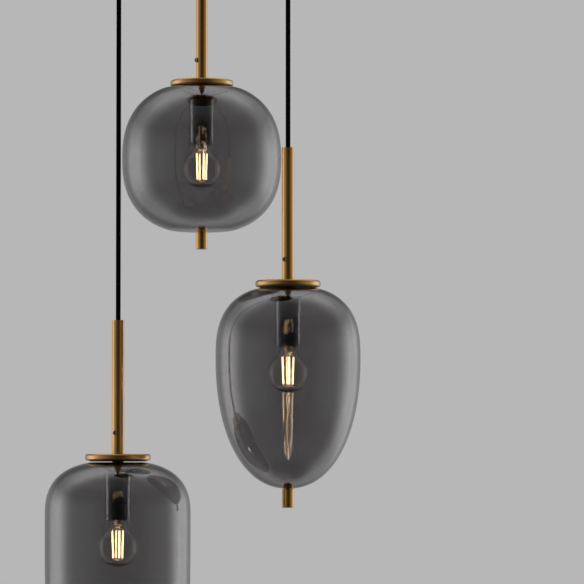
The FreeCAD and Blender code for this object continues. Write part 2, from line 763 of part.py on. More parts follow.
def pin(name):
    """Brass pin under the glass, its stud through the hole and the nut inside."""
    outside = "pinDiameter / 2"
    stud = "studDiameter / 2"
    bottom = f"({SHADE_TOP} + {name}Above + {name}Below)"
    dent = f"{name}DimpleDepth * (1 - ({outside} / {name}DimpleRadius)^2)^2"
    top = f"-({bottom} - {dent} + seatGap)"
    foot = f"{top} - pinLength"
    inside = halfDepth(name, "Below", "pinNutDiameter / 2", "shadeWall")
    nutFoot = f"-({SHADE_TOP} + {name}Above + {inside} - {name}DimpleDepth - seatGap)"
    nutTop = f"{nutFoot} + pinNutThickness"
    studTop = f"{nutTop} + studAboveNut"
    corners = [("0", foot), (outside, foot), (outside, top), (stud, top), (stud, studTop), ("0", studTop)]
    body = roundEdges(turned(f"{name}_pin", corners), "pinRound", [(outside, foot), (outside, top)])
    hole = f"{stud} + turningFit"
    edge = "pinNutDiameter / 2"
    nut = ring(f"{name}_pin_nut", hole, edge, nutFoot, nutTop)
    return [placeAt(piece, name, capLevel(name)) for piece in (body, nut)]


# ---- the whole lamp

nodes = [ceilingBracket(), canopyPan(), canopyScrews(), terminalBlock(), canopyLeads(), *cordGrips()]
for name in PENDANTS:
    nodes += [cable(name), *cover(name), neck(name), carrier(name), *lampholder(name)]
    nodes += [lampBase(name), lampBulb(name), filaments(name), shade(name), *pin(name)]
doc.recompute()

for item in doc.Objects:
    if {"Invalid", "Error"} & set(item.State):
        raise RuntimeError(f"{item.Label} failed: {item.State}")
os.makedirs("parts", exist_ok=True)
for node in nodes:
    shape = node.Shape
    if shape.isNull() or not shape.isValid():
        raise RuntimeError(f"{node.Label} has no valid shape")
    shape.exportStep(f"parts/{node.Label}.step")
for name in PENDANTS:
    length = doc.getObject(f"{name}_cable").Height.Value
    print(f"{name} cable: {length:.1f} mm, straight, {value('cableDiameter'):g} mm thick")
print(f"{len(nodes)} nodes, {sum(len(n.Shape.Solids) for n in nodes)} solids")
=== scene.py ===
import json
import math

import bpy
from mathutils import Matrix, Vector


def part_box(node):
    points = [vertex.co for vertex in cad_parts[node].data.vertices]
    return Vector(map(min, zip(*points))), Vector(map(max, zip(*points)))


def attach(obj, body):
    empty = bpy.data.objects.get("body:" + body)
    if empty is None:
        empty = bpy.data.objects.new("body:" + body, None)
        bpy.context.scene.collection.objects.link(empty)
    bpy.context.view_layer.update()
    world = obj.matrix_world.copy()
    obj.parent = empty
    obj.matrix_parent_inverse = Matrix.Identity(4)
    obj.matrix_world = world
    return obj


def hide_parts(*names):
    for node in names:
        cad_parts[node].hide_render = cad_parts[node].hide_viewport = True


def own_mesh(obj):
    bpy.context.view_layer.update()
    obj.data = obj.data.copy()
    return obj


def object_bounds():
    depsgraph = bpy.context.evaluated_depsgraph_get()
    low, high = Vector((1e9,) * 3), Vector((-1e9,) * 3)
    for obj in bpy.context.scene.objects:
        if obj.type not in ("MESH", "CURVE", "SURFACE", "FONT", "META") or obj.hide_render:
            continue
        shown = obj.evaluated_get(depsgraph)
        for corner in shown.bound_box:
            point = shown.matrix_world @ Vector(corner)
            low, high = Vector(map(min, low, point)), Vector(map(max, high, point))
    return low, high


# Cluster pendant: three smoked glass shades with brass stems, hung from one round canopy.
# Lengths in the dictionaries are millimetres; mm turns them into Blender's metres.

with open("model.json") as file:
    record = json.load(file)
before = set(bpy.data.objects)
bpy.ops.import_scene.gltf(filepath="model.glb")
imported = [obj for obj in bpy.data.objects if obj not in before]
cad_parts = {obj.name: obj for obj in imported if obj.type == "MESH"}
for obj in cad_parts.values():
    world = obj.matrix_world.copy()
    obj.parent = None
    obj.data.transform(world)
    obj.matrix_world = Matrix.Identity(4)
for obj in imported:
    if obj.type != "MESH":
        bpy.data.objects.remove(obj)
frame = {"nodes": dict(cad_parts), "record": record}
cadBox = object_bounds()
cadNodes = frame["nodes"]
pendants = ("apple", "egg", "jar")
mm = 0.001
print("frame loaded:", len(cadNodes), "CAD nodes")


def axisOf(name):
    # where a hanger's own axis stands, from the box of its cap
    low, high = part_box(name + "_cap")
    return (low[0] + high[0]) / 2, (low[1] + high[1]) / 2


# helpers for node trees, then for meshes
def put(tree, kind, inputs=None, **settings):
    # adds a node: an input that is another node's socket is linked, any other is set
    node = tree.nodes.new(kind)
    for key, value in settings.items():
        setattr(node, key, value)
    for socket, value in (inputs or {}).items():
        if isinstance(value, bpy.types.NodeSocket):
            tree.links.new(value, node.inputs[socket])
        else:
            node.inputs[socket].default_value = value
    return node


def calc(tree, operation, *values):
    inputs = dict(enumerate(values))
    return put(tree, "ShaderNodeMath", inputs, operation=operation).outputs[0]


def rescale(tree, value, low, high, fromLow=0.0, fromHigh=1.0):
    # low at fromLow, high at fromHigh, and no further
    inputs = {"Value": value, "From Min": fromLow, "From Max": fromHigh, "To Min": low, "To Max": high}
    return put(tree, "ShaderNodeMapRange", inputs).outputs[0]


def xyzOf(tree, vector):
    return put(tree, "ShaderNodeSeparateXYZ", {0: vector}).outputs


def newTree(label, sizes, inGeometry=False):
    # a Geometry Nodes tree with one named input for each size, then its group input and output
    tree = bpy.data.node_groups.new(label, "GeometryNodeTree")
    if inGeometry:
        tree.interface.new_socket("Geometry", in_out="INPUT", socket_type="NodeSocketGeometry")
    for name, value in sizes.items():
        kind = "NodeSocketInt" if isinstance(value, int) else "NodeSocketFloat"
        tree.interface.new_socket(name, in_out="INPUT", socket_type=kind)
    tree.interface.new_socket("Geometry", in_out="OUTPUT", socket_type="NodeSocketGeometry")
    return tree, put(tree, "NodeGroupInput").outputs, put(tree, "NodeGroupOutput")


def endTree(tree, geometry, output, material):
    real = put(tree, "GeometryNodeRealizeInstances", {"Geometry": geometry})
    done = put(tree, "GeometryNodeSetMaterial", {"Geometry": real.outputs[0], "Material": material})
    tree.links.new(done.outputs[0], output.inputs[0])


def addObject(label, data):
    obj = bpy.data.objects.new(label, data)
    bpy.context.collection.objects.link(obj)
    return obj


def grow(obj, tree, sizes):
    # inputs go in by identifier before the object is evaluated
    modifier = obj.modifiers.new(tree.name, "NODES")
    modifier.node_group = tree
    for item in tree.interface.items_tree:
        if item.in_out == "INPUT" and item.name in sizes:
            modifier[item.identifier] = sizes[item.name]


def plainMesh(obj, label, shift=(0, 0, 0)):
    # the evaluated object as a plain mesh at the origin, with its place in its vertices
    bpy.context.view_layer.update()
    evaluated = obj.evaluated_get(bpy.context.evaluated_depsgraph_get())
    mesh = bpy.data.meshes.new_from_object(evaluated)
    mesh.transform(Matrix.Translation(Vector(shift)) @ obj.matrix_world)
    bpy.data.objects.remove(obj)
    mesh.name = label
    for face in mesh.polygons:
        face.use_smooth = True
    return addObject(label, mesh)


def lathe(label, outline, material, steps, shift, twist=None):
    # turns (radius, height) points in millimetres round Z; a radius of 0 at either end closes as a pole
    # twist(angle, height) is added to the radius, as a thread is
    rings, verts, faces = [], [], []
    for radius, height in outline:
        if radius == 0:
            rings.append([len(verts)] * steps)
            verts.append((0, 0, height * mm))
            continue
        rings.append(list(range(len(verts), len(verts) + steps)))
        for k in range(steps):
            angle = 2 * math.pi * k / steps
            out = radius + (twist(angle, height) if twist else 0)
            verts.append((out * mm * math.cos(angle), out * mm * math.sin(angle), height * mm))
    for low, high in zip(rings, rings[1:]):
        for k in range(steps):
            face = (low[k], low[(k + 1) % steps], high[(k + 1) % steps], high[k])
            faces.append(tuple(dict.fromkeys(face)))
    mesh = bpy.data.meshes.new(label)
    mesh.from_pydata(verts, [], faces)
    mesh.validate()
    mesh.transform(Matrix.Translation(Vector(shift)))
    mesh.materials.append(material)
    for face in mesh.polygons:
        face.use_smooth = True
    return addObject(label, mesh)


def wires(label, runs, radius, material, shift):
    # round wires along runs of points in millimetres
    curve = bpy.data.curves.new(label, "CURVE")
    curve.dimensions = "3D"
    curve.bevel_depth = radius * mm
    curve.bevel_resolution = 2
    curve.use_fill_caps = True
    for points in runs:
        spline = curve.splines.new("POLY")
        spline.points.add(len(points) - 1)
        for point, spot in zip(spline.points, points):
            point.co = (*(mm * c for c in spot), 1)
    mesh = plainMesh(addObject(label, curve), label, shift)
    mesh.data.materials.clear()
    mesh.data.materials.append(material)
    return mesh


def hold(obj, body, slot, *replaced):
    # the piece moves with its body and stands for the CAD nodes that are named
    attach(obj, body)
    if replaced:
        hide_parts(*replaced)


# helpers for finishes
def startMaterial(label, sockets):
    material = bpy.data.materials.new(label)
    material.use_nodes = True
    tree = material.node_tree
    shader = tree.nodes["Principled BSDF"]
    for name, value in sockets.items():
        shader.inputs[name].default_value = value
    place = put(tree, "ShaderNodeTexCoord").outputs["Object"]
    return material, tree, shader, place


def wireUp(tree, result, kind="Surface"):
    tree.links.new(result, tree.nodes["Material Output"].inputs[kind])


def noiseOn(tree, vector, scale, detail=3.0, rough=0.5):
    sizes = {"Vector": vector, "Scale": scale, "Detail": detail, "Roughness": rough}
    return put(tree, "ShaderNodeTexNoise", sizes).outputs["Fac"]


def mixed(tree, factor, first, second):
    inputs = {"Factor": factor, 6: (*first, 1), 7: (*second, 1)}
    return put(tree, "ShaderNodeMix", inputs, data_type="RGBA").outputs[2]


noiseSpan = (0.3, 0.7)  # where nearly all of a noise texture's values lie


def tones(tree, shader, noise, darker, lighter):
    factor = rescale(tree, noise, 0.0, 1.0, *noiseSpan)
    tree.links.new(mixed(tree, factor, darker, lighter), shader.inputs["Base Color"])


def relief(tree, shader, height, depth):
    bump = put(tree, "ShaderNodeBump", {"Height": height, "Distance": depth * mm, "Strength": 1.0})
    tree.links.new(bump.outputs[0], shader.inputs["Normal"])


brassFinish = {
    "dark": (0.46, 0.228, 0.036),
    "light": (0.56, 0.288, 0.050),
    "lineScale": 1400.0,  # turning lines per metre, roughly
    "lineDepth": 0.0012,
    "patinaScale": 14.0,
    "patinaShare": 0.6,  # how much of the roughness follows the patina, the rest the lines
    "rough": (0.27, 0.36),
    "wearSpan": (0.35, 0.65),  # the values of patina and lines together that go from smooth to rough
    "lacquerRough": 0.2,
}


def turnedBrass(label, centre):
    # brass turned on a lathe and lacquered: fine lines run round the piece's own axis
    finish = brassFinish
    sockets = {"Metallic": 1.0, "Coat Weight": 1.0, "Coat Roughness": finish["lacquerRough"]}
    material, tree, shader, place = startMaterial(label, sockets)
    back = {"Vector": place, "Location": (-centre[0], -centre[1], 0)}
    centred = put(tree, "ShaderNodeMapping", back).outputs[0]
    xyz = xyzOf(tree, centred)
    squares = calc(tree, "ADD", calc(tree, "POWER", xyz[0], 2.0), calc(tree, "POWER", xyz[1], 2.0))
    radius = calc(tree, "SQRT", squares)
    section = put(tree, "ShaderNodeCombineXYZ", {0: radius, 2: xyz[2]}).outputs[0]
    lines = noiseOn(tree, section, finish["lineScale"], 2.0, 0.7)
    patina = noiseOn(tree, place, finish["patinaScale"])
    tones(tree, shader, patina, finish["dark"], finish["light"])
    fromPatina = calc(tree, "MULTIPLY", patina, finish["patinaShare"])
    fromLines = calc(tree, "MULTIPLY", lines, 1.0 - finish["patinaShare"])
    wear = calc(tree, "ADD", fromPatina, fromLines)
    rough = rescale(tree, wear, *finish["rough"], *finish["wearSpan"])
    tree.links.new(rough, shader.inputs["Roughness"])
    relief(tree, shader, lines, finish["lineDepth"])
    return material


blownGlass = {"waveScale": 6.0, "waveDepth": 0.03}  # slow waves in the surface


def clearGlass(label, tint, ior, shadow, absorb, paintedGlow=(1, 1, 1), paintedGlowStrength=0.0):
    # shadow rays pass straight through, so the light of the lamps and the studio reaches what is inside
    # absorb is how fast the wall darkens light that runs along inside it, as it does at the outline
    sockets = {"Base Color": (*tint, 1), "Transmission Weight": 1.0, "Roughness": 0.0, "IOR": ior}
    # the emission is a painted glow in the glass, standing for lamp light scattered in it; none unless
    # given
    sockets |= {"Emission Color": (*paintedGlow, 1), "Emission Strength": paintedGlowStrength}
    material, tree, shader, place = startMaterial(label, sockets)
    waves = noiseOn(tree, place, blownGlass["waveScale"], 0.0, 0.4)
    relief(tree, shader, waves, blownGlass["waveDepth"])
    through = put(tree, "ShaderNodeBsdfTransparent", {"Color": (*shadow, 1)}).outputs[0]
    isShadow = put(tree, "ShaderNodeLightPath").outputs["Is Shadow Ray"]
    wall = put(tree, "ShaderNodeMixShader", {0: isShadow, 1: shader.outputs[0], 2: through})
    wireUp(tree, wall.outputs[0])
    dye = put(tree, "ShaderNodeVolumeAbsorption", {"Color": (0, 0, 0, 1), "Density": absorb})
    wireUp(tree, dye.outputs[0], "Volume")
    return material


satinPatches = 30.0  # scale of the slow change of tone over every satin piece


def satin(label, darker, lighter, rough, grain, depth, **sockets):
    # a plain finish with a fine grain: cast, moulded or plated pieces
    named = {name.replace("_", " "): value for name, value in sockets.items()}
    material, tree, shader, place = startMaterial(label, named)
    fine = noiseOn(tree, place, grain, 4.0, 0.6)
    broad = noiseOn(tree, place, satinPatches)
    tones(tree, shader, broad, darker, lighter)
    tree.links.new(rescale(tree, broad, *rough, *noiseSpan), shader.inputs["Roughness"])
    relief(tree, shader, fine, depth)
    return material


filamentFinish = {
    "coat": (0.9, 0.6, 0.2),
    "rough": 0.4,
    "outside": (1.0, 0.82, 0.50),
    "inside": (1.0, 0.64, 0.32),
    "outsideStrength": 7.0,
    "insideStrength": 2.2,
    "turnOver": (-0.7, 0.3),  # how far outwards the surface faces, from all inside to all outside
    "mirrorGain": 9.0,  # how much more of it glass and metal mirror: the eye's view is cut off at white
    "chipScale": 900.0,
    "chipContrast": (0.9, 1.1),
}


def glowingStick(label):
    # phosphor coat: the chips face out from the lamp's axis, so that side is near white, the rest amber
    finish = filamentFinish
    sockets = {"Base Color": (*finish["coat"], 1), "Roughness": finish["rough"]}
    material, tree, shader, place = startMaterial(label, sockets)
    outward = put(tree, "ShaderNodeAttribute", attribute_name="outward").outputs["Fac"]
    facing = rescale(tree, outward, 0.0, 1.0, *finish["turnOver"])
    colour = mixed(tree, facing, finish["inside"], finish["outside"])
    tree.links.new(colour, shader.inputs["Emission Color"])
    chips = noiseOn(tree, place, finish["chipScale"], 1.0)
    glow = rescale(tree, facing, finish["insideStrength"], finish["outsideStrength"])
    glow = calc(tree, "MULTIPLY", glow, rescale(tree, chips, *finish["chipContrast"]))
    ray = put(tree, "ShaderNodeLightPath").outputs
    bounces = calc(tree, "ADD", ray["Glossy Depth"], ray["Diffuse Depth"])
    mirrored = calc(tree, "GREATER_THAN", bounces, 0.5)
    gain = rescale(tree, mirrored, 1.0, finish["mirrorGain"])
    tree.links.new(calc(tree, "MULTIPLY", glow, gain), shader.inputs["Emission Strength"])
    return material


braidFinish = {
    "dark": (0.0006, 0.0006, 0.0006),
    "light": (0.002, 0.002, 0.002),
    "rough": 0.95,
    "shine": 0.03,
    "fuzzScale": 2600.0,
    "fuzzDepth": 0.05,
}


def braid(label):
    # black textile: the crossing yarns are in the mesh, and this is their fuzz
    finish = braidFinish
    sockets = {"Roughness": finish["rough"], "Specular IOR Level": finish["shine"]}
    material, tree, shader, place = startMaterial(label, sockets)
    fuzz = noiseOn(tree, place, finish["fuzzScale"], 3.0, 0.6)
    tones(tree, shader, fuzz, finish["dark"], finish["light"])
    relief(tree, shader, fuzz, finish["fuzzDepth"])
    return material


glassFinishes = {
    "smokedGlass": {
        "tint": (0.417, 0.407, 0.411), "ior": 1.55, "shadow": (0.36, 0.355, 0.355), "absorb": 60.0,
    },
    "lampGlass": {
        "tint": (0.99, 0.99, 0.99), "ior": 1.42, "shadow": (0.97, 0.97, 0.97), "absorb": 110.0,
        "paintedGlow": (1.0, 0.72, 0.5), "paintedGlowStrength": 0.009,  # painted glow: the faint light of the sticks that lies in a lit bulb's glass
    },
}
# rough is the span of roughness, and a name with a capital is one of the shader's own sockets
satinFinishes = {
    "phenolic": {
        "darker": (0.003, 0.003, 0.003), "lighter": (0.005, 0.005, 0.005), "rough": (0.15, 0.2),
        "grain": 300.0, "depth": 0.0003, "Specular_IOR_Level": 0.0,
        "Coat_Weight": 1.0, "Coat_Roughness": 0.0, "Coat_IOR": 4.0,  # the deep polish of the lampholders
    },
    "blackMetal": {
        "darker": (0.007, 0.007, 0.007), "lighter": (0.014, 0.014, 0.014), "rough": (0.35, 0.5),
        "grain": 2500.0, "depth": 0.01, "Specular_IOR_Level": 0.12,
    },
    "agedNickel": {
        "darker": (0.12, 0.10, 0.07), "lighter": (0.22, 0.18, 0.13), "rough": (0.22, 0.4),
        "grain": 900.0, "depth": 0.01, "Metallic": 1.0,
    },
    "copperCladWire": {
        "darker": (0.72, 0.42, 0.20), "lighter": (0.85, 0.55, 0.28), "rough": (0.2, 0.35),
        "grain": 900.0, "depth": 0.004, "Metallic": 1.0,
        "Emission_Color": (1.0, 0.68, 0.34, 1), "Emission_Strength": 0.8,  # painted glow that stands for the light the sticks beside it throw on the wires
    },
    "nickelPlate": {
        "darker": (0.56, 0.55, 0.52), "lighter": (0.70, 0.69, 0.66), "rough": (0.16, 0.3),
        "grain": 900.0, "depth": 0.004, "Metallic": 1.0,
    },
    "zincSteel": {
        "darker": (0.42, 0.43, 0.45), "lighter": (0.58, 0.58, 0.58), "rough": (0.3, 0.5),
        "grain": 300.0, "depth": 0.01, "Metallic": 1.0,
    },
    "whitePlastic": {
        "darker": (0.70, 0.70, 0.67), "lighter": (0.80, 0.80, 0.77), "rough": (0.4, 0.55),
        "grain": 1200.0, "depth": 0.02,
    },
    "leadRubber": {
        "darker": (0.03, 0.03, 0.03), "lighter": (0.05, 0.05, 0.05), "rough": (0.45, 0.6),
        "grain": 900.0, "depth": 0.02,
    },
}
smokedGlass = clearGlass("smokedGlass", **glassFinishes["smokedGlass"])
lampGlass = clearGlass("lampGlass", **glassFinishes["lampGlass"])
filamentCoat = glowingStick("filamentCoat")
satins = {label: satin(label, **finish) for label, finish in satinFinishes.items()}
blackBraid = braid("blackBraid")
canopyBrass = turnedBrass("canopyBrass", (0, 0))
hangerBrass = {name: turnedBrass(name + "Brass", axisOf(name)) for name in pendants}
plainFinishes = {
    "black_plastic": satins["phenolic"],
    "black_metal": satins["blackMetal"],
    "nickel": satins["nickelPlate"],
    "steel": satins["zincSteel"],
    "white_plastic": satins["whitePlastic"],
    "lead": satins["leadRubber"],
    "lamp_glass": lampGlass,
    "smoked_glass": smokedGlass,
    "filament": filamentCoat,
    "cable": blackBraid,
}


def finishOf(part):
    owner = part["node"].split("_")[0]
    if part["node"].endswith("_lock_screw"):
        return satins["agedNickel"]
    if part["material_slot"] == "brass":
        return hangerBrass.get(owner, canopyBrass)
    return plainFinishes[part["material_slot"]]


for part in frame["record"]["subparts"]:
    for slot in cadNodes[part["node"]].material_slots:
        slot.material = finishOf(part)
print("finishes set on the CAD nodes")


cable = {
    "yarns": 32,  # points round the tube, so half as many crossings
    "ringStep": 1.25,
    "relief": 0.16,  # how deep every second point is sunk
    "raise": 100.0,  # how far the height joint lifts a head
}


def braidTree():
    sizes = {"Radius": 1.0, "Step": 1.0, "Relief": 1.0, "Yarns": 8}
    tree, given, output = newTree("braidedCable", sizes, inGeometry=True)
    spacing = {"Curve": given["Geometry"], "Length": given["Step"]}
    even = put(tree, "GeometryNodeResampleCurve", spacing, mode="LENGTH")
    circle = {"Radius": given["Radius"], "Resolution": given["Yarns"]}
    ring = put(tree, "GeometryNodeCurvePrimitiveCircle", circle)
    sections = {"Curve": even.outputs[0], "Profile Curve": ring.outputs[0], "Fill Caps": True}
    tube = put(tree, "GeometryNodeCurveToMesh", sections)
    index = put(tree, "GeometryNodeInputIndex").outputs[0]
    around = calc(tree, "MODULO", index, given["Yarns"])
    along = calc(tree, "FLOOR", calc(tree, "DIVIDE", calc(tree, "ADD", index, 0.5), given["Yarns"]))
    over = calc(tree, "MODULO", calc(tree, "ADD", around, along), 2.0)
    sunk = calc(tree, "MULTIPLY", calc(tree, "SUBTRACT", over, 1.0), given["Relief"])
    outward = put(tree, "GeometryNodeInputNormal").outputs[0]
    offset = put(tree, "ShaderNodeVectorMath", {0: outward, "Scale": sunk}, operation="SCALE").outputs[0]
    woven = put(tree, "GeometryNodeSetPosition", {"Geometry": tube.outputs[0], "Offset": offset})
    endTree(tree, woven.outputs[0], output, blackBraid)
    return tree


def hungCable(name, tree):
    low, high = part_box(name + "_cable")
    x, y = axisOf(name)
    route = [(x, y, high[2]), (x, y, (low[2] + high[2]) / 2), (x, y, low[2])]
    curve = bpy.data.curves.new(name + "_route", "CURVE")
    curve.dimensions = "3D"
    spline = curve.splines.new("NURBS")
    spline.points.add(len(route) - 1)
    for point, spot in zip(spline.points, route):
        point.co = (*spot, 1)
    spline.order_u = 3
    spline.use_endpoint_u = True
    source = addObject(name + "_route", curve)
    path = [vertex.co.copy() for vertex in bpy.data.meshes.new_from_object(source).vertices]
    diameter = high[0] - low[0]
    sizes = {
        "Radius": diameter / 2,
        "Step": cable["ringStep"] * mm,
        "Relief": cable["relief"] * mm,
        "Yarns": cable["yarns"],
    }
    grow(source, tree, sizes)
    tube = plainMesh(source, name + "_braided_cable")
    hold(tube, name + "_hanger", "cable", name + "_cable")
    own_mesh(tube)
    return tube


cableTree = braidTree()
for name in pendants:
    tube = hungCable(name, cableTree)
    print(tube.name, len(tube.data.polygons), "faces")


shade = {
    "wall": 2.5,
    "mouth": 53.0,
    "hole": 6.6,
    "around": 160,
    "along": 150,
    "landBlend": 3.0,  # how softly the crown runs into the flat land round the mouth
    "rimRound": 0.5,
    "rimAngle": 50.0,  # edges sharper than this are rounded
    "weld": 0.01,
}
# above and below are the depths over and under the widest level. crown is how far the full form would
# rise past the flat land, a higher square makes squarer shoulders, and dimple is pressed in over dent
shadeForms = {
    "apple": {
        "above": 82.9, "below": 87.6, "crown": 6.2, "squareAbove": 2.42, "squareBelow": 2.45,
        "dimple": 3.2, "dent": 42.0,
    },
    "egg": {
        "above": 76.7, "below": 147.9, "crown": 3.3, "squareAbove": 2.64, "squareBelow": 2.2,
        "dimple": 0.0, "dent": 20.0,
    },
    "jar": {
        "above": 60.2, "below": 168.0, "crown": 1.5, "squareAbove": 2.64, "squareBelow": 4.6,
        "dimple": 0.0, "dent": 20.0,
    },
}


def shadeTree():
    # a squared ellipse turned round Z: the angle runs from the pin's hole, past the widest level, to
    # the mouth, where the crown is flattened; the dimple is in the foot
    names = ("Radius", "Above", "Below", "Crown", "SquareAbove", "SquareBelow", "Dimple", "Dent")
    sizes = {name: 1.0 for name in names + ("FootAngle", "MouthAngle", "Blend")}
    tree, given, output = newTree("shadeForm", sizes | {"Around": 8, "Along": 8})
    columns = calc(tree, "ADD", given["Around"], 1.0)
    grid = {"Size X": 1.0, "Size Y": 1.0, "Vertices X": columns, "Vertices Y": given["Along"]}
    sheet = put(tree, "GeometryNodeMeshGrid", grid)
    xyz = xyzOf(tree, put(tree, "GeometryNodeInputPosition").outputs[0])
    turn = rescale(tree, xyz[0], 0.0, 2 * math.pi, -0.5, 0.5)
    angle = rescale(tree, xyz[1], given["FootAngle"], given["MouthAngle"], -0.5, 0.5)
    isBelow = calc(tree, "LESS_THAN", angle, 0.0)

    def half(below, above):
        return rescale(tree, isBelow, above, below)

    depth = half(given["Below"], calc(tree, "ADD", given["Above"], given["Crown"]))
    square = half(given["SquareBelow"], given["SquareAbove"])
    along = calc(tree, "COSINE", angle)
    up = calc(tree, "SINE", angle)
    wide = calc(tree, "ABSOLUTE", calc(tree, "DIVIDE", along, given["Radius"]))
    tall = calc(tree, "ABSOLUTE", calc(tree, "DIVIDE", up, depth))
    wide = calc(tree, "POWER", wide, square)
    tall = calc(tree, "POWER", tall, square)
    root = calc(tree, "DIVIDE", -1.0, square)
    reach = calc(tree, "POWER", calc(tree, "ADD", wide, tall), root)
    out = calc(tree, "MULTIPLY", reach, along)
    height = calc(tree, "MULTIPLY", reach, up)
    inner = calc(tree, "MINIMUM", calc(tree, "DIVIDE", out, given["Dent"]), 1.0)
    bowl = calc(tree, "POWER", calc(tree, "SUBTRACT", 1.0, calc(tree, "POWER", inner, 2.0)), 2.0)
    lift = calc(tree, "MULTIPLY", calc(tree, "MULTIPLY", bowl, given["Dimple"]), isBelow)
    height = calc(tree, "ADD", height, lift)
    height = calc(tree, "SMOOTH_MIN", height, given["Above"], given["Blend"])
    x = calc(tree, "MULTIPLY", out, calc(tree, "COSINE", turn))
    y = calc(tree, "MULTIPLY", out, calc(tree, "SINE", turn))
    spot = put(tree, "ShaderNodeCombineXYZ", {0: x, 1: y, 2: height}).outputs[0]
    blown = put(tree, "GeometryNodeSetPosition", {"Geometry": sheet.outputs[0], "Position": spot})
    seam = {"Geometry": blown.outputs[0], "Distance": shade["weld"] * mm}
    closed = put(tree, "GeometryNodeMergeByDistance", seam)
    endTree(tree, closed.outputs[0], output, smokedGlass)
    return tree


def squareHeight(radius, depth, square, out):
    return depth * (1 - (out / radius) ** square) ** (1 / square)


def glassShade(name, tree):
    form = shadeForms[name]
    low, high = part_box(name + "_glass")
    x, y = axisOf(name)
    radius = (high[0] - low[0]) / 2 / mm
    mouth, hole = shade["mouth"] / 2, shade["hole"] / 2
    mouthHeight = squareHeight(radius, form["above"] + form["crown"], form["squareAbove"], mouth)
    footHeight = squareHeight(radius, form["below"], form["squareBelow"], hole)
    sizes = {
        "Radius": radius * mm,
        "Above": form["above"] * mm,
        "Below": form["below"] * mm,
        "Crown": form["crown"] * mm,
        "SquareAbove": form["squareAbove"],
        "SquareBelow": form["squareBelow"],
        "Dimple": form["dimple"] * mm,
        "Dent": form["dent"] * mm,
        "FootAngle": -math.atan2(footHeight, hole),
        "MouthAngle": math.atan2(mouthHeight, mouth),
        "Blend": shade["landBlend"] * mm,
        "Around": shade["around"],
        "Along": shade["along"],
    }
    source = addObject(name + "_blank", bpy.data.meshes.new(name + "_blank"))
    grow(source, tree, sizes)
    wall = source.modifiers.new("wall", "SOLIDIFY")
    wall.thickness = shade["wall"] * mm
    wall.offset = -1
    wall.use_even_offset = True
    rim = source.modifiers.new("rim", "BEVEL")
    rim.width = shade["rimRound"] * mm
    rim.segments = 2
    rim.limit_method = "ANGLE"
    rim.angle_limit = math.radians(shade["rimAngle"])
    return plainMesh(source, name + "_blown_shade", (x, y, high[2] - form["above"] * mm))


formTree = shadeTree()
for name in pendants:
    glass = glassShade(name, formTree)
    hold(glass, name + "_head", "smoked_glass", name + "_glass")
    print(glass.name, len(glass.data.polygons), "faces")


lamp = {
    "stickLength": 30.0,
    "stickDiameter": 2.1,
    "topRadius": 6.2,
    "footRadius": 5.2,
    "sticks": 4,
    "stickSides": 16,
    "mountSides": 40,
    "wire": 0.22,
    "inStick": 0.5,  # how deep a wire starts inside its stick
    "footLead": 0.8,  # how far a foot wire runs on under its stick
    "vDrop": 3.2,  # how far the foot wires dip under the sticks
    "vRadius": 3.4,
    "topLead": 1.2,  # how far a top wire runs on over its stick, and how much it leans in
    "topLean": 0.95,
    "crossRise": 5.5,  # how far the top wires climb to the glass mount
    "crossRadius": 1.4,
    # pinch, flare and tube of the glass mount, as (radius, height)
    "mount": [(0, 0), (1.54, 0.3), (2.2, 1.2), (2.2, 4.0), (2.6, 6.0), (3.6, 8.5), (4.2, 10.5)],
    "mountDip": 1.5,  # how far the pinch reaches down over the wires' ends
    "turn": {"apple": 24.0, "egg": 12.0, "jar": 20.0},  # degrees, as each lamp happens to sit
}


def stickTree():
    sizes = {"Length": 1.0, "Radius": 1.0, "TopRadius": 1.0, "FootRadius": 1.0, "Count": 4, "Sides": 8}
    tree, given, output = newTree("stickCage", sizes)
    feet = {"Vertices": given["Count"], "Radius": given["FootRadius"]}
    spots = put(tree, "GeometryNodeMeshCircle", feet)
    lean = calc(tree, "SUBTRACT", given["TopRadius"], given["FootRadius"])
    tip = put(tree, "ShaderNodeCombineXYZ", {0: lean, 2: given["Length"]}).outputs[0]
    line = put(tree, "GeometryNodeCurvePrimitiveLine", {"End": tip})
    circle = {"Radius": given["Radius"], "Resolution": given["Sides"]}
    ring = put(tree, "GeometryNodeCurvePrimitiveCircle", circle)
    sections = {"Curve": line.outputs[0], "Profile Curve": ring.outputs[0], "Fill Caps": True}
    stick = put(tree, "GeometryNodeCurveToMesh", sections)
    # each stick leans along X before it is turned to its place, so its normal's X says which way is out
    normal = xyzOf(tree, put(tree, "GeometryNodeInputNormal").outputs[0])
    mark = {"Geometry": stick.outputs[0], "Name": "outward"}
    marked = put(tree, "GeometryNodeStoreNamedAttribute", mark, data_type="FLOAT", domain="POINT")
    tree.links.new(normal[0], marked.inputs["Value"])
    xyz = xyzOf(tree, put(tree, "GeometryNodeInputPosition").outputs[0])
    spin = put(tree, "ShaderNodeCombineXYZ", {2: calc(tree, "ARCTAN2", xyz[1], xyz[0])}).outputs[0]
    where = {"Points": spots.outputs[0], "Instance": marked.outputs[0], "Rotation": spin}
    cage = put(tree, "GeometryNodeInstanceOnPoints", where)
    endTree(tree, cage.outputs[0], output, filamentCoat)
    return tree


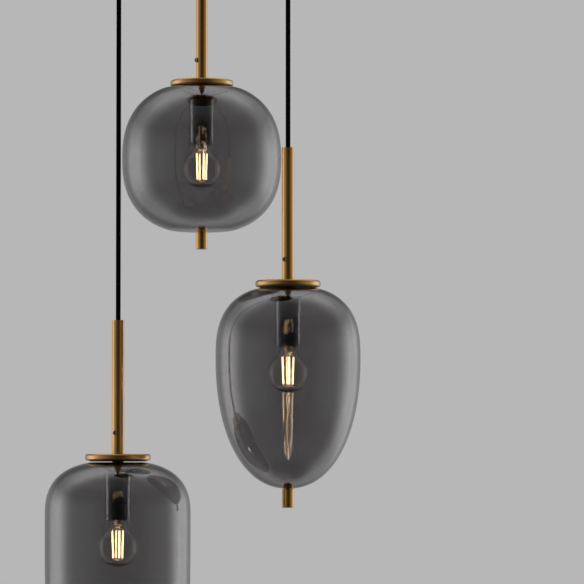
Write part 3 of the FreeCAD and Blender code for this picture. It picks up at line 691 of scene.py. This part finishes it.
def lampInside(name, tree):
    # sticks, their wires and the glass mount, placed by the box of the CAD filaments
    low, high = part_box(name + "_lamp_filaments")
    x, y = axisOf(name)
    foot = low[2]
    spin = math.radians(lamp["turn"][name])
    sizes = {
        "Length": lamp["stickLength"] * mm,
        "Radius": lamp["stickDiameter"] / 2 * mm,
        "TopRadius": lamp["topRadius"] * mm,
        "FootRadius": lamp["footRadius"] * mm,
        "Count": lamp["sticks"],
        "Sides": lamp["stickSides"],
    }
    source = addObject(name + "_cage", bpy.data.meshes.new(name + "_cage"))
    source.matrix_world = Matrix.Rotation(spin, 4, "Z")
    grow(source, tree, sizes)
    sticks = plainMesh(source, name + "_filament_sticks", (x, y, foot))
    hold(sticks, name + "_lamp", "filament", name + "_lamp_filaments")

    angles = [spin + 2 * math.pi * k / lamp["sticks"] for k in range(lamp["sticks"])]
    length = lamp["stickLength"]

    def at(radius, angle, height):
        return radius * math.cos(angle), radius * math.sin(angle), height

    runs = []
    for k, angle in enumerate(angles):
        across = angles[(k + 2) % lamp["sticks"]]
        tip = at(lamp["topRadius"], angle, length - lamp["inStick"])
        turn = at(lamp["topRadius"] * lamp["topLean"], angle, length + lamp["topLead"])
        runs.append([tip, turn, at(lamp["crossRadius"], across, length + lamp["crossRise"])])
        partner = angles[k ^ 1]  # sticks 0 and 1 share a foot wire, and so do 2 and 3
        near, far = at(lamp["vRadius"], angle, 0), at(lamp["vRadius"], partner, 0)
        dip = ((near[0] + far[0]) / 2, (near[1] + far[1]) / 2, -lamp["vDrop"])
        start = at(lamp["footRadius"], angle, lamp["inStick"])
        runs.append([start, at(lamp["footRadius"], angle, -lamp["footLead"]), dip])
    # the wires' finish carries a painted glow for the sticks' light falling on them
    web = wires(name + "_lamp_wires", runs, lamp["wire"], satins["copperCladWire"], (x, y, foot))
    hold(web, name + "_lamp", "nickel")

    top = (high[2] - foot) / mm
    start = length + lamp["crossRise"] - lamp["mountDip"]
    outline = [(radius, start + height) for radius, height in lamp["mount"]]
    outline += [(lamp["mount"][-1][0], top), (0, top)]
    stem = lathe(name + "_lamp_mount", outline, lampGlass, lamp["mountSides"], (x, y, foot))
    hold(stem, name + "_lamp", "lamp_glass")


bulb = {
    "globe": 22.5,
    "throat": 6.45,  # radius where the neck goes into the screw cap
    "sweep": 30.0,  # radius of the hollow curve from the neck to the globe
    "wall": 0.8,
    "pole": 1.6,  # extra glass at the foot, where it was blown
    "poleSpread": 8,  # the higher, the smaller the thick spot
    "cutEdge": 0.1,  # how far the neck's cut edge is rounded
    "neckSteps": 12,
    "globeSteps": 40,
    "sides": 72,
}


def bulbOutline(inset, top, level):
    # the neck, the sweep out of it and the globe down to its pole, as (radius, height)
    globe, throat, sweep = bulb["globe"] - inset, bulb["throat"] - inset, bulb["sweep"] + inset
    bend = level + math.sqrt((globe + sweep) ** 2 - (throat + sweep) ** 2)
    meet = math.atan2(bend - level, throat + sweep)
    points = [(throat, top)]
    for k in range(bulb["neckSteps"] + 1):
        angle = math.pi + meet * k / bulb["neckSteps"]
        points.append((throat + sweep + sweep * math.cos(angle), bend + sweep * math.sin(angle)))
    last = bulb["globeSteps"]
    for k in range(1, last + 1):
        angle = meet - (meet + math.pi / 2) * k / last
        thick = bulb["pole"] * max(0.0, -math.sin(angle)) ** bulb["poleSpread"] if inset else 0.0
        out = globe * math.cos(angle) if k < last else 0
        points.append((out, level + globe * math.sin(angle) + thick))
    return points


def lampBulb(name):
    low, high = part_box(name + "_lamp_bulb")
    level = low[2] / mm + bulb["globe"]
    top = high[2] / mm
    outer = bulbOutline(0.0, top, level)
    inner = bulbOutline(bulb["wall"], top, level)
    edge = (bulb["throat"] - bulb["wall"] / 2, top + bulb["cutEdge"])
    outline = outer[::-1] + [edge] + inner
    x, y = axisOf(name)
    glass = lathe(name + "_bulb_glass", outline, lampGlass, bulb["sides"], (x, y, 0))
    hold(glass, name + "_lamp", "lamp_glass", name + "_lamp_bulb")


screwBase = {
    "pitch": 2.82,
    "depth": 0.55,
    "radius": 6.95,
    "plainFoot": 2.0,  # what has no thread at the lip and at the shoulder
    "plainTop": 0.5,
    "rowStep": 0.28,  # height of one row of faces
    "sides": 56,
    # the lip as (radius, height over the foot), then shoulder, insulator and button as (radius, depth)
    "lip": [(0, 9.0), (6.25, 9.0), (6.25, 0.1), (6.75, 0.0), (6.95, 0.3)],
    "crown": [(6.35, 6.0), (4.1, 3.4), (3.5, 2.0), (2.4, 1.9), (2.4, 0.7), (1.7, 0.0), (0, 0.0)],
}


def lampBase(name):
    low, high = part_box(name + "_lamp_base")
    x, y = axisOf(name)
    foot, top = low[2] / mm, high[2] / mm
    lip, crown = screwBase["lip"], screwBase["crown"]
    edge, shoulder = lip[-1][1], top - crown[0][1]

    def thread(angle, height):
        if not foot + screwBase["plainFoot"] < height < shoulder - screwBase["plainTop"]:
            return 0.0
        phase = 2 * math.pi * height / screwBase["pitch"] + angle
        return -screwBase["depth"] * (0.5 - 0.5 * math.cos(phase))

    rows = int((shoulder - foot) / screwBase["rowStep"])
    rise = (shoulder - foot - 2 * edge) / rows
    outline = [(radius, foot + height) for radius, height in lip]
    outline += [(screwBase["radius"], foot + edge + rise * k) for k in range(1, rows + 1)]
    outline += [(radius, top - depth) for radius, depth in crown]
    nickel, sides = satins["nickelPlate"], screwBase["sides"]
    shell = lathe(name + "_threaded_base", outline, nickel, sides, (x, y, 0), thread)
    hold(shell, name + "_lamp_screw", "nickel", name + "_lamp_base")


cageTree = stickTree()
for name in pendants:
    lampInside(name, cageTree)
    lampBulb(name)
    lampBase(name)
print("lamps built")


studio = {
    "backdrop": 0.474,  # what the camera sees behind the pendant, also through its glass
    "plain": 0.55,  # how strongly the room lights dull surfaces
    # what metal and glass mirror, by the share of the way from the front of the room to its back
    "mirrored": {
        0.0: 0.03, 0.06: 0.10, 0.17: 0.34, 0.30: 0.46, 0.40: 0.53, 0.47: 0.76, 0.57: 1.4,
        0.66: 1.65, 0.76: 1.2, 0.84: 1.05, 0.89: 0.5, 0.93: 0.32, 1.0: 0.25,
    },
    "reach": -0.06,  # how much further round the right panel comes; below zero the left one does
    # how much of that is left by its height, from straight below at -1 to straight above at 1
    "upright": {
        -1.0: 0.08, -0.93: 0.12, -0.8: 0.42, -0.5: 0.5, -0.2: 1.0,
        0.1: 1.0, 0.4: 0.35, 0.6: 0.42, 0.8: 0.75, 1.0: 0.75,
    },
    "sides": (1.1, 1.08),  # how much more comes from the left and from the right
    # what the pieces inside the glass mirror: narrower and brighter panels
    "inside": {
        0.0: 0.03, 0.2: 0.1, 0.4: 0.3, 0.52: 0.6, 0.62: 2.3, 0.69: 3.6,
        0.77: 3.3, 0.86: 1.5, 0.93: 0.6, 1.0: 0.4,
    },
    "floorLevel": -2.55,
    "floorHalf": 25.0,
    "floorColor": (0.62, 0.62, 0.62),
    "floorRough": 0.9,
    "lampEnergy": 25.0,
    "lampOut": 2.4,  # how far either soft lamp stands from the middle
    "lampSpot": (-0.6, -0.5),
    "lampSize": (0.9, 2.2),
}


def steps(tree, value, table):
    # a value between 0 and 1 looked up in a table of {place: strength}
    ramp = put(tree, "ShaderNodeValToRGB", {0: value})
    stops = ramp.color_ramp.elements
    most = max(table.values())
    for k, (place, strength) in enumerate(table.items()):
        stop = stops[0] if k == 0 else stops[-1] if place == 1.0 else stops.new(place)
        stop.color = (*[strength / most] * 3, 1)
    return calc(tree, "MULTIPLY", ramp.outputs[0], most)


def studioWorld():
    world = bpy.data.worlds.new("studio")
    bpy.context.scene.world = world
    world.use_nodes = True
    tree = world.node_tree
    ray = put(tree, "ShaderNodeLightPath").outputs
    way = xyzOf(tree, put(tree, "ShaderNodeTexCoord").outputs["Generated"])
    # metal and glass mirror bright panels at the sides and behind, and a dark front
    share = rescale(tree, way[1], 0.0, 1.0, -1.0, 1.0)
    share = calc(tree, "ADD", share, calc(tree, "MULTIPLY", way[0], studio["reach"]))
    outside = steps(tree, share, studio["mirrored"])
    inside = steps(tree, share, studio["inside"])
    risen = rescale(tree, way[2], 0.0, 1.0, -1.0, 1.0)
    upright = steps(tree, risen, {(height + 1) / 2: left for height, left in studio["upright"].items()})
    side = rescale(tree, way[0], *studio["sides"], -1.0, 1.0)
    within = calc(tree, "GREATER_THAN", ray["Transmission Depth"], 0.5)
    panels = rescale(tree, within, outside, inside)
    for factor in (upright, side):
        panels = calc(tree, "MULTIPLY", panels, factor)
    mirrored = calc(tree, "GREATER_THAN", ray["Glossy Depth"], 0.5)
    seen = rescale(tree, mirrored, studio["backdrop"], panels)
    direct = calc(tree, "MAXIMUM", ray["Is Camera Ray"], ray["Is Glossy Ray"])
    direct = calc(tree, "MAXIMUM", direct, ray["Is Transmission Ray"])
    strength = rescale(tree, direct, studio["plain"], seen)
    back = tree.nodes["Background"]
    back.inputs["Color"].default_value = (1, 1, 1, 1)
    tree.links.new(strength, back.inputs["Strength"])


def softLamp(label, spot, target):
    data = bpy.data.lights.new(label, "AREA")
    data.shape = "RECTANGLE"
    data.size, data.size_y = studio["lampSize"]
    data.energy = studio["lampEnergy"]
    light = addObject(label, data)
    light.location = spot
    light.rotation_euler = (Vector(target) - Vector(spot)).to_track_quat("-Z", "Z").to_euler()
    light.visible_glossy = False  # the world has the panels that metal and glass mirror
    light.visible_transmission = False


def studioFloor():
    edge, level = studio["floorHalf"], studio["floorLevel"]
    corners = [(-edge, -edge, level), (edge, -edge, level), (edge, edge, level), (-edge, edge, level)]
    mesh = bpy.data.meshes.new("floor")
    mesh.from_pydata(corners, [], [(0, 1, 2, 3)])
    sockets = {"Base Color": (*studio["floorColor"], 1), "Roughness": studio["floorRough"]}
    material, tree, shader, _ = startMaterial("floorPaint", sockets)
    # seen from underneath the floor is clear, so a view from below shows the pendant
    beneath = put(tree, "ShaderNodeNewGeometry").outputs["Backfacing"]
    clear = put(tree, "ShaderNodeBsdfTransparent").outputs[0]
    oneSided = put(tree, "ShaderNodeMixShader", {0: beneath, 1: shader.outputs[0], 2: clear})
    wireUp(tree, oneSided.outputs[0])
    mesh.materials.append(material)
    floor = addObject("floor", mesh)
    floor.visible_glossy = False
    floor.visible_transmission = False


studioWorld()
middle = [(a + b) / 2 for a, b in zip(*cadBox)]
softLamp("leftPanel", (-studio["lampOut"], *studio["lampSpot"]), middle)
softLamp("rightPanel", (studio["lampOut"], *studio["lampSpot"]), middle)
studioFloor()

# the photograph's view: from far away, about level with the egg's foot, looking slightly up
view = {"spot": (0.1016, -4.300, -0.9375), "tilt": 92.797, "lens": 233.4, "clipEnd": 200.0}
cameraData = bpy.data.cameras.new("camera")
cameraData.lens = view["lens"]
cameraData.clip_end = view["clipEnd"]
camera = addObject("camera", cameraData)
camera.location = view["spot"]
camera.rotation_euler = (math.radians(view["tilt"]), 0, 0)
scene = bpy.context.scene
scene.camera = camera
scene.view_settings.view_transform = "Standard"
print("studio ready")
